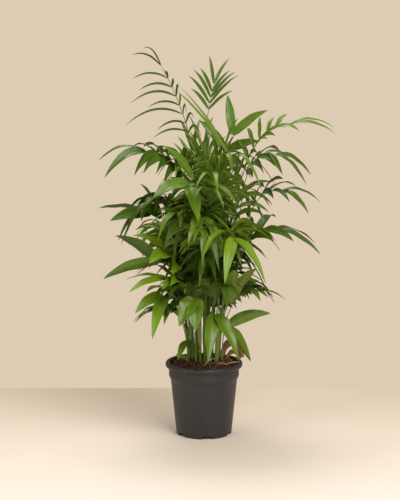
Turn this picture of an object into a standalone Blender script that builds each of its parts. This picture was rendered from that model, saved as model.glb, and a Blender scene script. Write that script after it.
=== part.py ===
"""Bamboo palm in a black nursery pot.

The pot is a turned shell with drain notches, filled with soil. A clump of canes stands in the
soil, and pinnate fronds leave the canes on long petioles. Each frond is one thin blade, cut to
its rib between the leaflets. Sizes are in metres, +Z is up, and the origin lies under the
middle of the pot.
"""

import itertools
import math
from collections import namedtuple

import bmesh
import bpy
import numpy as np
from mathutils.bvhtree import BVHTree

# Clearances
GAP = 0.0003
LEAF_CLEARANCE = 0.0009
UP = np.array([0.0, 0.0, 1.0])

# Pot
POT_SIDES = 40
POT_HEIGHT = 0.200
BASE_RADIUS = 0.0755
BASE_ROUND = 0.0020
COLLAR_FOOT = 0.150
COLLAR_TOP = 0.186
WALL_RADIUS = 0.0905
COLLAR_RADIUS = 0.0955
RIM_RADIUS = 0.1050
RIM_ROLL = 0.0035
RIM_LIP = 0.0010
WALL = 0.0020
FLOOR = 0.0090
NOTCHES = 6
NOTCH_WIDTH = 0.0230
NOTCH_HEIGHT = 0.0075
NOTCH_DEPTH = 0.0045
NOTCH_START = -84.0
NOTCH_OVERRUN = 0.0100

# Soil
SOIL_CROWN = 0.2010
SOIL_FLAT = 0.0600
SOIL_SHOULDER = 0.0740
SOIL_SHOULDER_DROP = 0.0040
SOIL_EDGE = 0.1870
SOIL_EDGE_ROUND = 0.0030

# Canes: foot on the soil, head, both as x, y, and the head's height
CANE_RADIUS = 0.0040
CANE_TAPER = 0.80
CANE_BEND = 0.60
CANE_SIDES = 8
CANE_STEPS = 5
Cane = namedtuple("Cane", "foot head top")
CANES = (
    Cane((-0.031, -0.014), (-0.050, -0.020), 0.45),
    Cane((-0.016, 0.020), (-0.021, 0.034), 0.55),
    Cane((0.001, -0.026), (0.004, -0.032), 0.50),
    Cane((0.009, 0.010), (0.013, 0.012), 0.60),
    Cane((0.021, -0.010), (0.042, -0.014), 0.53),
    Cane((0.040, 0.016), (0.070, 0.034), 0.46),
    Cane((-0.040, 0.026), (-0.068, 0.050), 0.41),
    Cane((0.012, 0.044), (0.018, 0.078), 0.49),
    Cane((-0.010, -0.044), (-0.016, -0.066), 0.38),
    Cane((0.032, -0.036), (0.050, -0.056), 0.36),
)

# Fronds: ribs
RIB_HALF = 0.0019
RIB_TAPER = 0.45
RIB_DEPTH = 0.9
RIB_SIDES = 4
RIB_RISE = 0.9
RIB_LEAN = 0.25
RIB_START = 0.40
RIB_END = 0.35
PETIOLE_RINGS = 4
PETIOLE_SHARE = 0.92
LEAF_SEAT = 0.0060
TIP_STEP = 0.35
RIB_TURNS = (0, 5, -5, 10, -10, 15, -15, 20, -20, 27, -27, 34, -34, 42, -42)
RIB_DROPS = (0.0, 0.015, 0.030)

# Fronds: leaflets
LEAF_THICKNESS = 0.0016
LEAF_SLIMMEST = 0.011
LEAF_RINGS = (((0.45, 1.0),), ((0.34, 1.0), (0.70, 0.78)))
LEAF_JITTER = 5.0
TWIST_JITTER = 14.0
LENGTH_JITTER = 0.08
LEAST_ANGLE = 4.0
LOWEST_LENGTH = 0.82
LENGTH_BULGE = 0.22
BULGE_SHIFT = 0.15
NECK_OUT = 0.0020
LEAF_TRIES = (
    (0, 0, 1.0), (0, 9, 1.0), (0, -9, 1.0), (8, 0, 1.0), (-8, 0, 1.0), (0, 18, 1.0), (0, -18, 1.0),
    (12, 12, 0.9), (-12, 12, 0.9), (12, -12, 0.9), (-12, -12, 0.9), (0, 28, 0.9), (0, -28, 0.9),
    (16, 0, 0.8), (-16, 0, 0.8), (0, 0, 0.7), (0, 38, 0.8), (0, -38, 0.8), (22, 14, 0.7),
    (-22, 14, 0.7), (22, -14, 0.7), (-22, -14, 0.7), (0, 20, 0.55), (0, -20, 0.55), (0, 0, 0.45),
)

# A frond leaves its cane at a height, and its rib ends at a tip. Angles are in degrees: nod is
# how far the rib's end points down, roll turns the blade about the rib, spread and close are
# the lowest and highest leaflets' angles to the rib, fork is the tip pair's, and lift raises
# the leaflets off the blade's plane. Droop is a leaflet's sag as a share of its length, petiole
# the rib's bare share, end the tip pair's length to the others', and rings a leaflet's rings.
Frond = namedtuple(
    "Frond",
    "cane height tip nod roll pairs leaf width spread close fork droop lift petiole end rings",
    defaults=(10, 0, 5, 0.13, 0.018, 58, 34, 14, 0.35, 12, 0.5, 1.0, 2),
)

FRONDS = (
    # top of the crown
    Frond(4, 0.51, (-0.114, -0.050, 1.008), nod=-60, roll=140, pairs=7, leaf=0.155, width=0.013,
          spread=62, close=45, droop=0.42, lift=40, petiole=0.62, end=0.66),
    Frond(1, 0.53, (0.028, 0.160, 0.945), nod=-52, pairs=4, leaf=0.118, width=0.013, spread=45,
          close=30, fork=20, droop=0.08, petiole=0.82, end=0.9),
    Frond(3, 0.54, (0.078, 0.050, 0.815), nod=-62, roll=-45, pairs=1, leaf=0.118, width=0.018,
          fork=30, droop=0.05, petiole=0.84),
    Frond(4, 0.49, (0.072, -0.030, 0.760), nod=-132, pairs=0, leaf=0.250, width=0.013, fork=4,
          droop=0.02, petiole=0.9),
    # right of the crown, from the top down
    Frond(4, 0.46, (0.232, 0.000, 0.848), nod=-5, roll=-25, pairs=6, leaf=0.100, width=0.014,
          droop=0.30, lift=25, petiole=0.55, end=1.2),
    Frond(5, 0.44, (0.198, 0.020, 0.765), nod=10, roll=-15, pairs=4, leaf=0.105, width=0.018,
          droop=0.50, lift=0, petiole=0.64),
    Frond(5, 0.40, (0.208, -0.030, 0.672), nod=5, roll=-15, pairs=4, leaf=0.125, width=0.017,
          droop=0.42, petiole=0.56, end=0.8),
    Frond(9, 0.34, (0.182, -0.050, 0.565), nod=5, roll=-15, pairs=2, leaf=0.135, width=0.019,
          fork=20, droop=0.35, petiole=0.74),
    # front of the crown
    Frond(9, 0.32, (0.060, -0.160, 0.562), nod=40, pairs=4, leaf=0.150, width=0.024, spread=95,
          close=50, fork=32, droop=0.68, lift=32, petiole=0.7, end=0.74),
    Frond(2, 0.47, (-0.040, -0.100, 0.700), nod=30, roll=35, pairs=1, leaf=0.185, width=0.026,
          spread=80, fork=35, droop=0.22, petiole=0.90, end=0.65),
    Frond(2, 0.30, (0.030, -0.110, 0.352), nod=50, pairs=0, leaf=0.115, width=0.026, fork=15,
          droop=0.45, petiole=0.9),
    Frond(8, 0.31, (-0.026, -0.120, 0.395), nod=50, pairs=0, leaf=0.090, width=0.032, fork=14,
          droop=0.35, petiole=0.9),
    Frond(9, 0.28, (0.080, -0.090, 0.382), nod=-50, pairs=0, leaf=0.165, width=0.027, fork=10,
          droop=0.10, petiole=0.9),
    Frond(9, 0.235, (0.062, -0.044, 0.303), nod=26, roll=80, pairs=0, leaf=0.125, width=0.021,
          fork=36, droop=0.14, petiole=0.9),
    # left of the crown, from the top down
    Frond(3, 0.56, (-0.155, -0.030, 0.776), nod=-10, roll=20, pairs=5, leaf=0.130, width=0.018,
          spread=55, close=36, droop=0.55, petiole=0.52),
    Frond(6, 0.39, (-0.145, 0.020, 0.604), nod=0, roll=22, pairs=2, leaf=0.120, width=0.022,
          droop=0.05, petiole=0.72, end=1.15),
    Frond(0, 0.39, (-0.085, -0.060, 0.500), nod=-20, roll=35, pairs=1, leaf=0.125, width=0.032,
          droop=0.20, petiole=0.75, end=1.1),
    Frond(8, 0.35, (-0.120, -0.100, 0.492), nod=-14, roll=-75, pairs=0, leaf=0.150, width=0.024,
          fork=25, droop=0.08, petiole=0.9),
    Frond(8, 0.32, (-0.090, -0.090, 0.440), nod=-5, roll=15, pairs=3, leaf=0.120, width=0.020,
          droop=0.24, petiole=0.66, end=1.1),
    Frond(6, 0.28, (-0.105, -0.050, 0.386), nod=15, roll=20, pairs=1, leaf=0.120, width=0.023,
          droop=0.50, petiole=0.75),
    Frond(6, 0.23, (-0.045, -0.050, 0.266), nod=25, pairs=0, leaf=0.076, width=0.014, droop=0.15,
          petiole=0.9),
)

# Filler fronds, which close the crown on every side; every fourth one is upright and narrow
FILLERS = 26
FILLER_STEP = 137.5
FILLER_FIRST = 65.0
FILLER_BELOW = 0.020
FILLER_LAYER = 0.050
LAYER_JITTER = 0.4
FILLER_WIDE = 0.70
FILLER_DEEP = 1.15
FILLER_REACH = 0.120
FILLER_RISE = 0.240
FILLER_TOP = 0.79
FILLER_NOD = 15.0
FILLER_DROOP = 0.60
UPRIGHT_EVERY = 4
UPRIGHT_REACH = 0.060
UPRIGHT_RISE = 0.320
UPRIGHT_TOP = 0.77
REACH_JITTER = 0.020
RISE_JITTER = 0.050
NOD_JITTER = 30.0
DROOP_JITTER = 0.20

# A rib that has found room: its curve, the way it faces, its rings, the rings below its pairs
# of leaflets, and a search tree of it
Rib = namedtuple("Rib", "controls out rings seats tree")

# Colours as linear red, green and blue
POT_COLOUR = (0.040, 0.037, 0.034)
SOIL_COLOUR = (0.070, 0.032, 0.018)
CANE_COLOUR = (0.150, 0.200, 0.035)
LEAF_COLOUR = (0.055, 0.130, 0.020)


def unit(vector):
    """Return a vector scaled to length one."""
    return vector / np.linalg.norm(vector)


def rotated(first, second, degrees):
    """Turn two perpendicular directions about their common normal."""
    angle = math.radians(degrees)
    cosine = math.cos(angle)
    sine = math.sin(angle)
    return first * cosine + second * sine, second * cosine - first * sine


def noise(*keys):
    """Return a repeatable number from -1 to 1 for a set of whole numbers."""
    total = sum(key * scale for key, scale in zip(keys, (12.9898, 78.233, 37.719)))
    wave = math.sin(total + 1.7) * 43758.5453
    return 2.0 * (wave - math.floor(wave)) - 1.0


def material(name, colour, roughness):
    """Return a plain material."""
    finish = bpy.data.materials.new(name)
    finish.use_nodes = True
    shader = finish.node_tree.nodes["Principled BSDF"]
    shader.inputs["Base Color"].default_value = (*colour, 1.0)
    shader.inputs["Roughness"].default_value = roughness
    shader.inputs["Metallic"].default_value = 0.0
    finish.diffuse_color = (*colour, 1.0)
    return finish


def add_object(name, points, faces, finish):
    """Add one closed mesh as a named object with its faces pointing out."""
    mesh = bpy.data.meshes.new(name)
    mesh.from_pydata([tuple(point) for point in points], [], faces)
    mesh.materials.append(finish)
    work = bmesh.new()
    work.from_mesh(mesh)
    bmesh.ops.recalc_face_normals(work, faces=work.faces)
    work.to_mesh(mesh)
    work.free()
    mesh.shade_smooth()
    mesh.set_sharp_from_angle(angle=math.radians(35))
    thing = bpy.data.objects.new(name, mesh)
    bpy.context.collection.objects.link(thing)
    return thing


def lathe(profile, sides):
    """Turn a profile that starts and ends on the axis; return points and faces."""
    angles = [2.0 * math.pi * side / sides for side in range(sides)]
    points = [(0.0, 0.0, profile[0][1])]
    for radius, height in profile[1:-1]:
        points += [(radius * math.cos(a), radius * math.sin(a), height) for a in angles]
    points.append((0.0, 0.0, profile[-1][1]))
    rings = len(profile) - 2
    faces = []
    for side in range(sides):
        after = (side + 1) % sides
        faces.append((0, 1 + after, 1 + side))
        for ring in range(rings - 1):
            low = 1 + ring * sides
            high = low + sides
            faces.append((low + side, low + after, high + after, high + side))
        last = 1 + (rings - 1) * sides
        faces.append((last + side, last + after, len(points) - 1))
    return points, faces


def wall_radius(height):
    """Return the pot's outer radius at a height on the tapered wall or the collar."""
    if height < COLLAR_FOOT:
        return BASE_RADIUS + (WALL_RADIUS - BASE_RADIUS) * height / COLLAR_FOOT
    share = (height - COLLAR_FOOT) / (COLLAR_TOP - COLLAR_FOOT)
    return WALL_RADIUS + (COLLAR_RADIUS - WALL_RADIUS) * min(1.0, 3.0 * share)


def pot_profile():
    """Return the pot's section from the middle of its underside to that of its floor."""
    shoulder = COLLAR_FOOT + (COLLAR_TOP - COLLAR_FOOT) / 3.0
    outside = [(0.0, 0.0), (BASE_RADIUS - BASE_ROUND, 0.0), (BASE_RADIUS, BASE_ROUND)]
    outside += [(wall_radius(z), z) for z in (COLLAR_FOOT, shoulder, COLLAR_TOP)]
    outside += [
        (RIM_RADIUS - RIM_LIP, COLLAR_TOP + RIM_LIP),
        (RIM_RADIUS, COLLAR_TOP + RIM_ROLL),
        (RIM_RADIUS, POT_HEIGHT - RIM_ROLL),
        (RIM_RADIUS - RIM_ROLL, POT_HEIGHT),
        (COLLAR_RADIUS, POT_HEIGHT - RIM_LIP),
    ]
    inside = [(wall_radius(z) - WALL, z) for z in (COLLAR_TOP, shoulder, COLLAR_FOOT, FLOOR)]
    return outside + inside + [(0.0, FLOOR)]


def build_pot(finish):
    """Add the pot, with blind drain notches round its bottom edge."""
    points, faces = lathe(pot_profile(), POT_SIDES)
    pot = add_object("pot", points, faces, finish)
    cutters = [notch_cutter(index) for index in range(NOTCHES)]
    for cutter in cutters:
        cut = pot.modifiers.new(cutter.name, "BOOLEAN")
        cut.operation = "DIFFERENCE"
        cut.solver = "EXACT"
        cut.object = cutter
    return pot


def notch_cutter(index):
    """Return a hidden box that cuts one drain notch."""
    angle = math.radians(NOTCH_START + 360.0 * index / NOTCHES)
    outward = np.array([math.cos(angle), math.sin(angle), 0.0])
    across = np.array([-outward[1], outward[0], 0.0])
    near = BASE_RADIUS - NOTCH_DEPTH
    far = BASE_RADIUS + NOTCH_OVERRUN
    half = NOTCH_WIDTH / 2.0
    heights = (-NOTCH_OVERRUN, NOTCH_HEIGHT)
    corners = [(near, -half), (far, -half), (far, half), (near, half)]
    points = [outward * r + across * s + UP * z for z in heights for r, s in corners]
    faces = [(0, 1, 2, 3), (4, 5, 6, 7), (0, 1, 5, 4), (1, 2, 6, 5), (2, 3, 7, 6), (3, 0, 4, 7)]
    cutter = add_object(f"notch_cutter_{index}", points, faces, None)
    cutter.hide_render = True
    cutter.display_type = "WIRE"
    return cutter


def build_soil(finish):
    """Add the soil, which fills the pot and rises a little round the canes."""
    shoulder = COLLAR_FOOT + (COLLAR_TOP - COLLAR_FOOT) / 3.0
    bottom = FLOOR + GAP
    heights = (bottom, COLLAR_FOOT, shoulder, SOIL_EDGE - SOIL_EDGE_ROUND)
    profile = [(0.0, bottom)] + [(wall_radius(z) - WALL - GAP, z) for z in heights]
    profile += [
        (COLLAR_RADIUS - WALL - SOIL_EDGE_ROUND, SOIL_EDGE),
        (SOIL_SHOULDER, SOIL_CROWN - SOIL_SHOULDER_DROP),
        (SOIL_FLAT, SOIL_CROWN),
        (0.0, SOIL_CROWN),
    ]
    points, faces = lathe(profile, POT_SIDES)
    return add_object("soil", points, faces, finish)


def cane_point(cane, height):
    """Return the middle of a cane at a height; it leaves the soil upright and leans out."""
    share = (height - SOIL_CROWN) / (cane.top - SOIL_CROWN)
    bend = share * share * CANE_BEND + share * (1.0 - CANE_BEND)
    x = cane.foot[0] + (cane.head[0] - cane.foot[0]) * bend
    y = cane.foot[1] + (cane.head[1] - cane.foot[1]) * bend
    return np.array([x, y, height])


def cane_radius(cane, height):
    """Return a cane's radius at a height."""
    share = (height - SOIL_CROWN) / (cane.top - SOIL_CROWN)
    return CANE_RADIUS * (1.0 - (1.0 - CANE_TAPER) * share)


def build_cane(name, cane, finish):
    """Add one cane as a tapered tube of flat-cut rings."""
    foot = SOIL_CROWN + GAP
    points = []
    for step in range(CANE_STEPS + 1):
        height = foot + (cane.top - foot) * step / CANE_STEPS
        middle = cane_point(cane, height)
        radius = cane_radius(cane, height)
        for side in range(CANE_SIDES):
            angle = 2.0 * math.pi * side / CANE_SIDES
            points.append(middle + radius * np.array([math.cos(angle), math.sin(angle), 0.0]))
    faces = [tuple(range(CANE_SIDES))]
    for step in range(CANE_STEPS):
        low = step * CANE_SIDES
        for side in range(CANE_SIDES):
            after = (side + 1) % CANE_SIDES
            high = low + CANE_SIDES
            faces.append((low + side, low + after, high + after, high + side))
    faces.append(tuple(range(CANE_STEPS * CANE_SIDES, (CANE_STEPS + 1) * CANE_SIDES)))
    return add_object(name, points, faces, finish)


def rib_curve(frond, turn, drop):
    """Return a rib's cubic curve and the way it faces, turned round its cane and let down it."""
    cane = CANES[frond.cane]
    root = cane_point(cane, frond.height - drop)
    reach = np.array(frond.tip) - root
    turned, across = rotated(np.array([1.0, 0.0, 0.0]), np.array([0.0, 1.0, 0.0]), turn)
    reach = turned * reach[0] + across * reach[1] + UP * reach[2]
    out = unit(reach * (1.0, 1.0, 0.0))
    start = root + out * (cane_radius(cane, root[2]) + GAP)
    chord = root + reach - start
    length = np.linalg.norm(chord)
    first = unit(chord / length + UP * RIB_RISE + out * RIB_LEAN)
    angle = math.radians(frond.nod)
    last = out * math.cos(angle) - UP * math.sin(angle)
    tip = root + reach
    controls = (start, start + first * length * RIB_START, tip - last * length * RIB_END, tip)
    return controls, out


def rib_frame(controls, out, roll, share):
    """Return the rib's point, direction, right side and upper normal at a share of its length."""
    a, b, c, d = controls
    rest = 1.0 - share
    point = a * rest**3 + 3.0 * b * rest**2 * share + 3.0 * c * rest * share**2 + d * share**3
    along = unit((b - a) * rest**2 + 2.0 * (c - b) * rest * share + (d - c) * share**2)
    side = np.cross(out, UP)
    side = unit(side - along * np.dot(side, along))
    normal = np.cross(side, along)
    side, normal = rotated(side, normal, roll)
    return point, along, side, normal


def leaf_shares(frond):
    """Return the shares of the rib's length at which its pairs of leaflets sit, tip pair last."""
    step = (1.0 - frond.petiole) / (frond.pairs + TIP_STEP)
    return [frond.petiole + step * pair for pair in range(frond.pairs)] + [1.0]


def rib_rings(frond, controls, out):
    """Return the rib's four-sided rings, and the ring below each pair of leaflets."""
    length = np.linalg.norm(controls[3] - controls[0])
    seat = LEAF_SEAT / length
    bare = frond.petiole * PETIOLE_SHARE
    shares = [bare * ring / PETIOLE_RINGS for ring in range(PETIOLE_RINGS)]
    seats = []
    for share in leaf_shares(frond):
        seats.append(len(shares))
        shares += [share - seat, share]
    rings = []
    for share in shares:
        roll = frond.roll * min(1.0, share / frond.petiole)
        point, _, side, normal = rib_frame(controls, out, roll, share)
        half = RIB_HALF * (1.0 - (1.0 - RIB_TAPER) * share)
        across = side * half
        deep = (normal if share > 0.0 else UP) * half * RIB_DEPTH
        rings.append((
            point + across + deep,
            point - across + deep,
            point - across - deep,
            point + across - deep,
        ))
    return rings, seats


def leaf_shape(frond, number, pair, hand, change):
    """Return a leaflet's angle to the rib, lift, twist and length for one try."""
    turn, tilt, shrink = change
    last = pair == frond.pairs
    share = pair / max(frond.pairs, 1)
    angle = frond.fork if last else frond.spread + (frond.close - frond.spread) * share
    angle += LEAF_JITTER * noise(number, pair, hand) + turn
    lift = frond.lift + LEAF_JITTER * noise(number, pair, hand + 7) + tilt
    twist = TWIST_JITTER * noise(number, pair, hand + 14)
    bulge = LOWEST_LENGTH + LENGTH_BULGE * math.sin(math.pi * (share + BULGE_SHIFT))
    length = frond.leaf * (frond.end if last else bulge) * shrink
    length *= 1.0 + LENGTH_JITTER * noise(number, pair, hand + 21)
    return max(angle, LEAST_ANGLE), lift, twist, length


def leaf_curve(frame, hand, shape, droop, share):
    """Return a leaflet's point, width direction and upper normal at a share of its length."""
    point, along, side, normal = frame
    angle, lift, twist, length = shape
    spread = math.sin(math.radians(angle))
    level = side * hand * math.cos(math.radians(lift)) + normal * math.sin(math.radians(lift))
    ahead = along * math.cos(math.radians(angle)) + level * spread
    middle = point + length * (ahead * share - UP * droop * share * share)
    heading = unit(ahead - UP * 2.0 * droop * share)
    front = hand * unit(np.cross(normal, heading))
    upper = hand * np.cross(heading, front)
    front, upper = rotated(front, upper, twist * hand)
    return middle, front, upper


def leaf_rings(frond, number, pair, hand, frame, change, margin):
    """Return a leaflet's four-point rings and its tip, thickened all round by a margin."""
    shape = leaf_shape(frond, number, pair, hand, change)
    length = shape[3]
    thick = max(LEAF_THICKNESS, LEAF_SLIMMEST * length) / 2.0 + margin
    rings = []
    for share, part in LEAF_RINGS[frond.rings - 1]:
        middle, front, upper = leaf_curve(frame, hand, shape, frond.droop, share)
        half = frond.width * part / 2.0 + margin
        rings.append([
            middle - front * half + upper * thick,
            middle + front * half + upper * thick,
            middle + front * half - upper * thick,
            middle - front * half - upper * thick,
        ])
    tip = leaf_curve(frame, hand, shape, frond.droop, 1.0)[0]
    return rings, tip


def solid_tree(solid):
    """Return a search tree of an object that lies at the origin."""
    mesh = solid.data
    corners = [tuple(vertex.co) for vertex in mesh.vertices]
    return BVHTree.FromPolygons(corners, [tuple(face.vertices) for face in mesh.polygons])


def split(quad):
    """Return the two triangles of a quad, always cut on the same diagonal."""
    a, b, c, d = quad
    return [(a, b, c), (a, c, d)]


def band(low, high, count):
    """Return the triangles between two closed rings of points, by their first numbers."""
    faces = []
    for i in range(count):
        j = (i + 1) % count
        faces += split((low[i], low[j], high[j], high[i]))
    return faces


def leaf_faces(root, first, rings):
    """Return the triangles from a leaflet's four root points over its rings to its tip."""
    faces = []
    low = root
    for ring in range(rings):
        high = [first + ring * 4 + i for i in range(4)]
        faces += band(low, high, 4)
        low = high
    return faces + [(low[i], low[(i + 1) % 4], low[3] + 1) for i in range(4)]


def tree_of(points, faces):
    """Return a search tree of a mesh."""
    return BVHTree.FromPolygons([tuple(point) for point in points], faces)


def guard_tree(frond, number, pair, hand, frame, root, change, off):
    """Return a search tree of a leaflet with its clearance, from its root or just off it."""
    rings, tip = leaf_rings(frond, number, pair, hand, frame, change, LEAF_CLEARANCE)
    middle = sum(root) / 4.0
    shift = frame[2] * hand * off
    neck = [corner + shift + unit(corner - middle) * LEAF_CLEARANCE for corner in root]
    points = neck + [corner for ring in rings for corner in ring] + [tip]
    return tree_of(points, leaf_faces(range(4), 4, len(rings)) + split(range(4)))


def rib_faces(count, taken=()):
    """Return the rib's triangles, leaving a gap where a leaflet is seated."""
    faces = split(range(RIB_SIDES))
    for ring in range(count - 1):
        low = ring * RIB_SIDES
        high = low + RIB_SIDES
        faces += split((low, low + 1, high + 1, high))
        faces += split((low + 2, low + 3, high + 3, high + 2))
        if (ring, 1) not in taken:
            faces += split((low + 3, low, high, high + 3))
        if (ring, -1) not in taken:
            faces += split((low + 1, low + 2, high + 2, high + 1))
    last = (count - 1) * RIB_SIDES
    return faces + split(range(last, last + RIB_SIDES))


def rib_tree(rings, margin):
    """Return a search tree of a rib, thickened all round but at its start on the cane."""
    points = list(rings[0])
    for ring in rings[1:]:
        middle = sum(ring) / RIB_SIDES
        points += [corner + unit(corner - middle) * margin for corner in ring]
    return tree_of(points, rib_faces(len(rings)))


def choose_rib(frond, standing):
    """Return the first try of a rib that clears what stands."""
    for drop, turn in itertools.product(RIB_DROPS, RIB_TURNS):
        controls, out = rib_curve(frond, turn, drop)
        rings, seats = rib_rings(frond, controls, out)
        guard = rib_tree(rings, LEAF_CLEARANCE)
        if not any(guard.overlap(tree) for tree in standing):
            return Rib(controls, out, rings, seats, rib_tree(rings, 0.0))
    raise ValueError("a rib finds no room")


def seat_frame(frond, rib, share):
    """Return the rib's frame where a pair of leaflets leaves it."""
    length = np.linalg.norm(rib.controls[3] - rib.controls[0])
    return rib_frame(rib.controls, rib.out, frond.roll, share - 0.5 * LEAF_SEAT / length)


def root_corners(seat, hand):
    """Return the rib's point numbers round a leaflet's root, rear top corner first."""
    low = seat * RIB_SIDES
    high = low + RIB_SIDES
    if hand > 0:
        return [low, high, high + 3, low + 3]
    return [low + 1, high + 1, high + 2, low + 2]


def crosses_itself(points, faces):
    """Say whether two of a mesh's triangles that share no corner cross."""
    tree = tree_of(points, faces)
    return any(not set(faces[one]) & set(faces[two]) for one, two in tree.overlap(tree))


def choose_leaf(frond, number, pair, hand, frame, corners, points, faces, rib, standing):
    """Return the new points of the first try of a leaflet that clears its rib and the rest."""
    root = [points[corner] for corner in corners]
    for change in LEAF_TRIES:
        whole = guard_tree(frond, number, pair, hand, frame, root, change, 0.0)
        if any(whole.overlap(tree) for tree in standing):
            continue
        outer = guard_tree(frond, number, pair, hand, frame, root, change, NECK_OUT)
        if outer.overlap(rib.tree):
            continue
        rings, tip = leaf_rings(frond, number, pair, hand, frame, change, 0.0)
        new = [corner for ring in rings for corner in ring] + [tip]
        if not crosses_itself(points + new, faces):
            return new
    return None


def build_frond(name, number, frond, rib, standing, finish):
    """Add one frond: its rib, and each leaflet that finds room; return its leaflets' trees."""
    points = [corner for ring in rib.rings for corner in ring]
    taken = set()
    blades = []
    grown = []
    for pair, share in enumerate(leaf_shares(frond)):
        frame = seat_frame(frond, rib, share)
        for hand in (1, -1):
            seat = {(rib.seats[pair], hand)}
            corners = root_corners(rib.seats[pair], hand)
            blade = leaf_faces(corners, len(points), frond.rings)
            faces = rib_faces(len(rib.rings), taken | seat) + blades + blade
            others = standing + grown
            new = choose_leaf(
                frond, number, pair, hand, frame, corners, points, faces, rib, others
            )
            if new is None:
                continue
            taken |= seat
            blades += blade
            root = [points[corner] for corner in corners]
            grown.append(tree_of(root + new, leaf_faces(range(4), 4, frond.rings)))
            points += new
    add_object(name, points, rib_faces(len(rib.rings), taken) + blades, finish)
    return grown


def filler(index):
    """Return a filler frond by rule: the canes in turn, each at the golden angle from the last."""
    number = index % len(CANES)
    cane = CANES[number]
    layer = index // len(CANES) + LAYER_JITTER * noise(index, 3)
    height = cane.top - FILLER_BELOW - FILLER_LAYER * layer
    upright = index % UPRIGHT_EVERY == UPRIGHT_EVERY - 1
    reach = (UPRIGHT_REACH if upright else FILLER_REACH) + REACH_JITTER * noise(index, 5)
    rise = (UPRIGHT_RISE if upright else FILLER_RISE) + RISE_JITTER * noise(index, 9)
    top = min(height + rise, UPRIGHT_TOP if upright else FILLER_TOP)
    angle = math.radians(FILLER_FIRST + FILLER_STEP * index)
    root = cane_point(cane, height)
    x = root[0] + reach * FILLER_WIDE * math.cos(angle)
    y = root[1] + reach * FILLER_DEEP * math.sin(angle)
    if upright:
        return Frond(number, height, (x, y, top), nod=-70, pairs=5, leaf=0.115, width=0.014,
                     spread=34, close=20, droop=0.12, lift=8, petiole=0.5, rings=1)
    nod = FILLER_NOD + NOD_JITTER * noise(index, 11)
    droop = FILLER_DROOP + DROOP_JITTER * noise(index, 13)
    return Frond(number, height, (x, y, top), nod=nod, pairs=6, leaf=0.115, width=0.018,
                 droop=droop, petiole=0.5, rings=1)


def main():
    """Build the whole plant."""
    for old in list(bpy.data.objects):
        bpy.data.objects.remove(old)
    pot_finish = material("pot_plastic", POT_COLOUR, 0.55)
    soil_finish = material("soil", SOIL_COLOUR, 0.95)
    cane_finish = material("cane_skin", CANE_COLOUR, 0.50)
    leaf_finish = material("leaf", LEAF_COLOUR, 0.40)
    solids = [build_pot(pot_finish), build_soil(soil_finish)]
    for index, cane in enumerate(CANES):
        solids.append(build_cane(f"cane_{index + 1:02d}", cane, cane_finish))
    standing = [solid_tree(solid) for solid in solids]
    fronds = list(FRONDS) + [filler(index) for index in range(FILLERS)]
    ribs = []
    for frond in fronds:
        ribs.append(choose_rib(frond, standing + [rib.tree for rib in ribs]))
    for index, frond in enumerate(fronds):
        others = [rib.tree for rib in ribs if rib is not ribs[index]]
        name = f"frond_{index + 1:02d}"
        standing += build_frond(name, index + 1, frond, ribs[index], standing + others, leaf_finish)


main()
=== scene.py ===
import itertools
import math
from collections import namedtuple

import bpy
import numpy as np
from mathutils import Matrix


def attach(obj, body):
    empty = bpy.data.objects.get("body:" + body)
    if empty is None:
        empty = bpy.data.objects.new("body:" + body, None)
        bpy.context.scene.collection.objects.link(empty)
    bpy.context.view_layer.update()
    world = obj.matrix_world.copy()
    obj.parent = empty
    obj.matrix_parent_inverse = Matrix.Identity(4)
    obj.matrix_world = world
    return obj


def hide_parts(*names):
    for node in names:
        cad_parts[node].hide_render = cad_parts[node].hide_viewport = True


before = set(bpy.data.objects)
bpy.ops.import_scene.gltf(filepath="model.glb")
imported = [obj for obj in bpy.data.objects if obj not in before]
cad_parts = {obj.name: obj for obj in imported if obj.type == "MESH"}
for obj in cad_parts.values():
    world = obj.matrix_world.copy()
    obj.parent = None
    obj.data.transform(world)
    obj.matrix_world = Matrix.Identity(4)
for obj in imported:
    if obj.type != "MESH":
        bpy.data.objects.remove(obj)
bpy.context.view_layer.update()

# Lengths are in metres and angles in degrees. The plant faces -Y, and +Z is up.
up = np.array([0.0, 0.0, 1.0])
draw = np.random.default_rng(11)


# Directions and repeatable variation

def unit(vectors):  # vectors scaled to length one, along the last axis
    return vectors / np.linalg.norm(vectors, axis=-1, keepdims=True)


def turned(first, second, degrees):  # two perpendicular directions turned about their normal
    angle = np.radians(degrees)
    cosine, sine = np.cos(angle), np.sin(angle)
    return first * cosine + second * sine, second * cosine - first * sine


def noise(*keys):  # a repeatable number from -1 to 1 for a set of whole numbers
    total = sum(key * scale for key, scale in zip(keys, (12.9898, 78.233, 37.719)))
    wave = math.sin(total + 1.7) * 43758.5453
    return 2.0 * (wave - math.floor(wave)) - 1.0


def ramp(low, high, values):  # a smooth step from 0 at low to 1 at high
    share = np.clip((values - low) / (high - low), 0.0, 1.0)
    return share * share * (3.0 - 2.0 * share)


def bump(away, width):  # a smooth bump, 1 where away is 0
    return np.exp(-(away / width) ** 2)


def roundAngles(sides):  # even angles once round
    return np.linspace(0.0, 2.0 * math.pi, sides, endpoint=False)


def turnedRound(radius, height, angles):  # rings about Z: (radius cos a, radius sin a, height)
    return np.stack((radius * np.cos(angles), radius * np.sin(angles), height + 0.0 * angles), -1)


def flatRing(columns):  # places across a strip, the ring of them over it and back under, its faces
    over = np.linspace(-1.0, 1.0, columns)
    ring = np.concatenate((over, over[-2:0:-1]))
    face = np.concatenate((np.ones(columns), -np.ones(columns - 2)))
    return over, ring, face


# Meshes from grids

def facing(grid, marks):  # a closed tube's grid and marks, turned so that its faces point out
    around = np.roll(grid, -1, axis=1) - grid
    ahead = grid[1:] - grid[:-1]
    outward = grid - grid.mean(axis=1, keepdims=True)
    if (np.cross(around[:-1], ahead) * outward[:-1]).sum() >= 0.0:
        return grid, marks
    return grid[:, ::-1], marks[:, ::-1]


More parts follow.
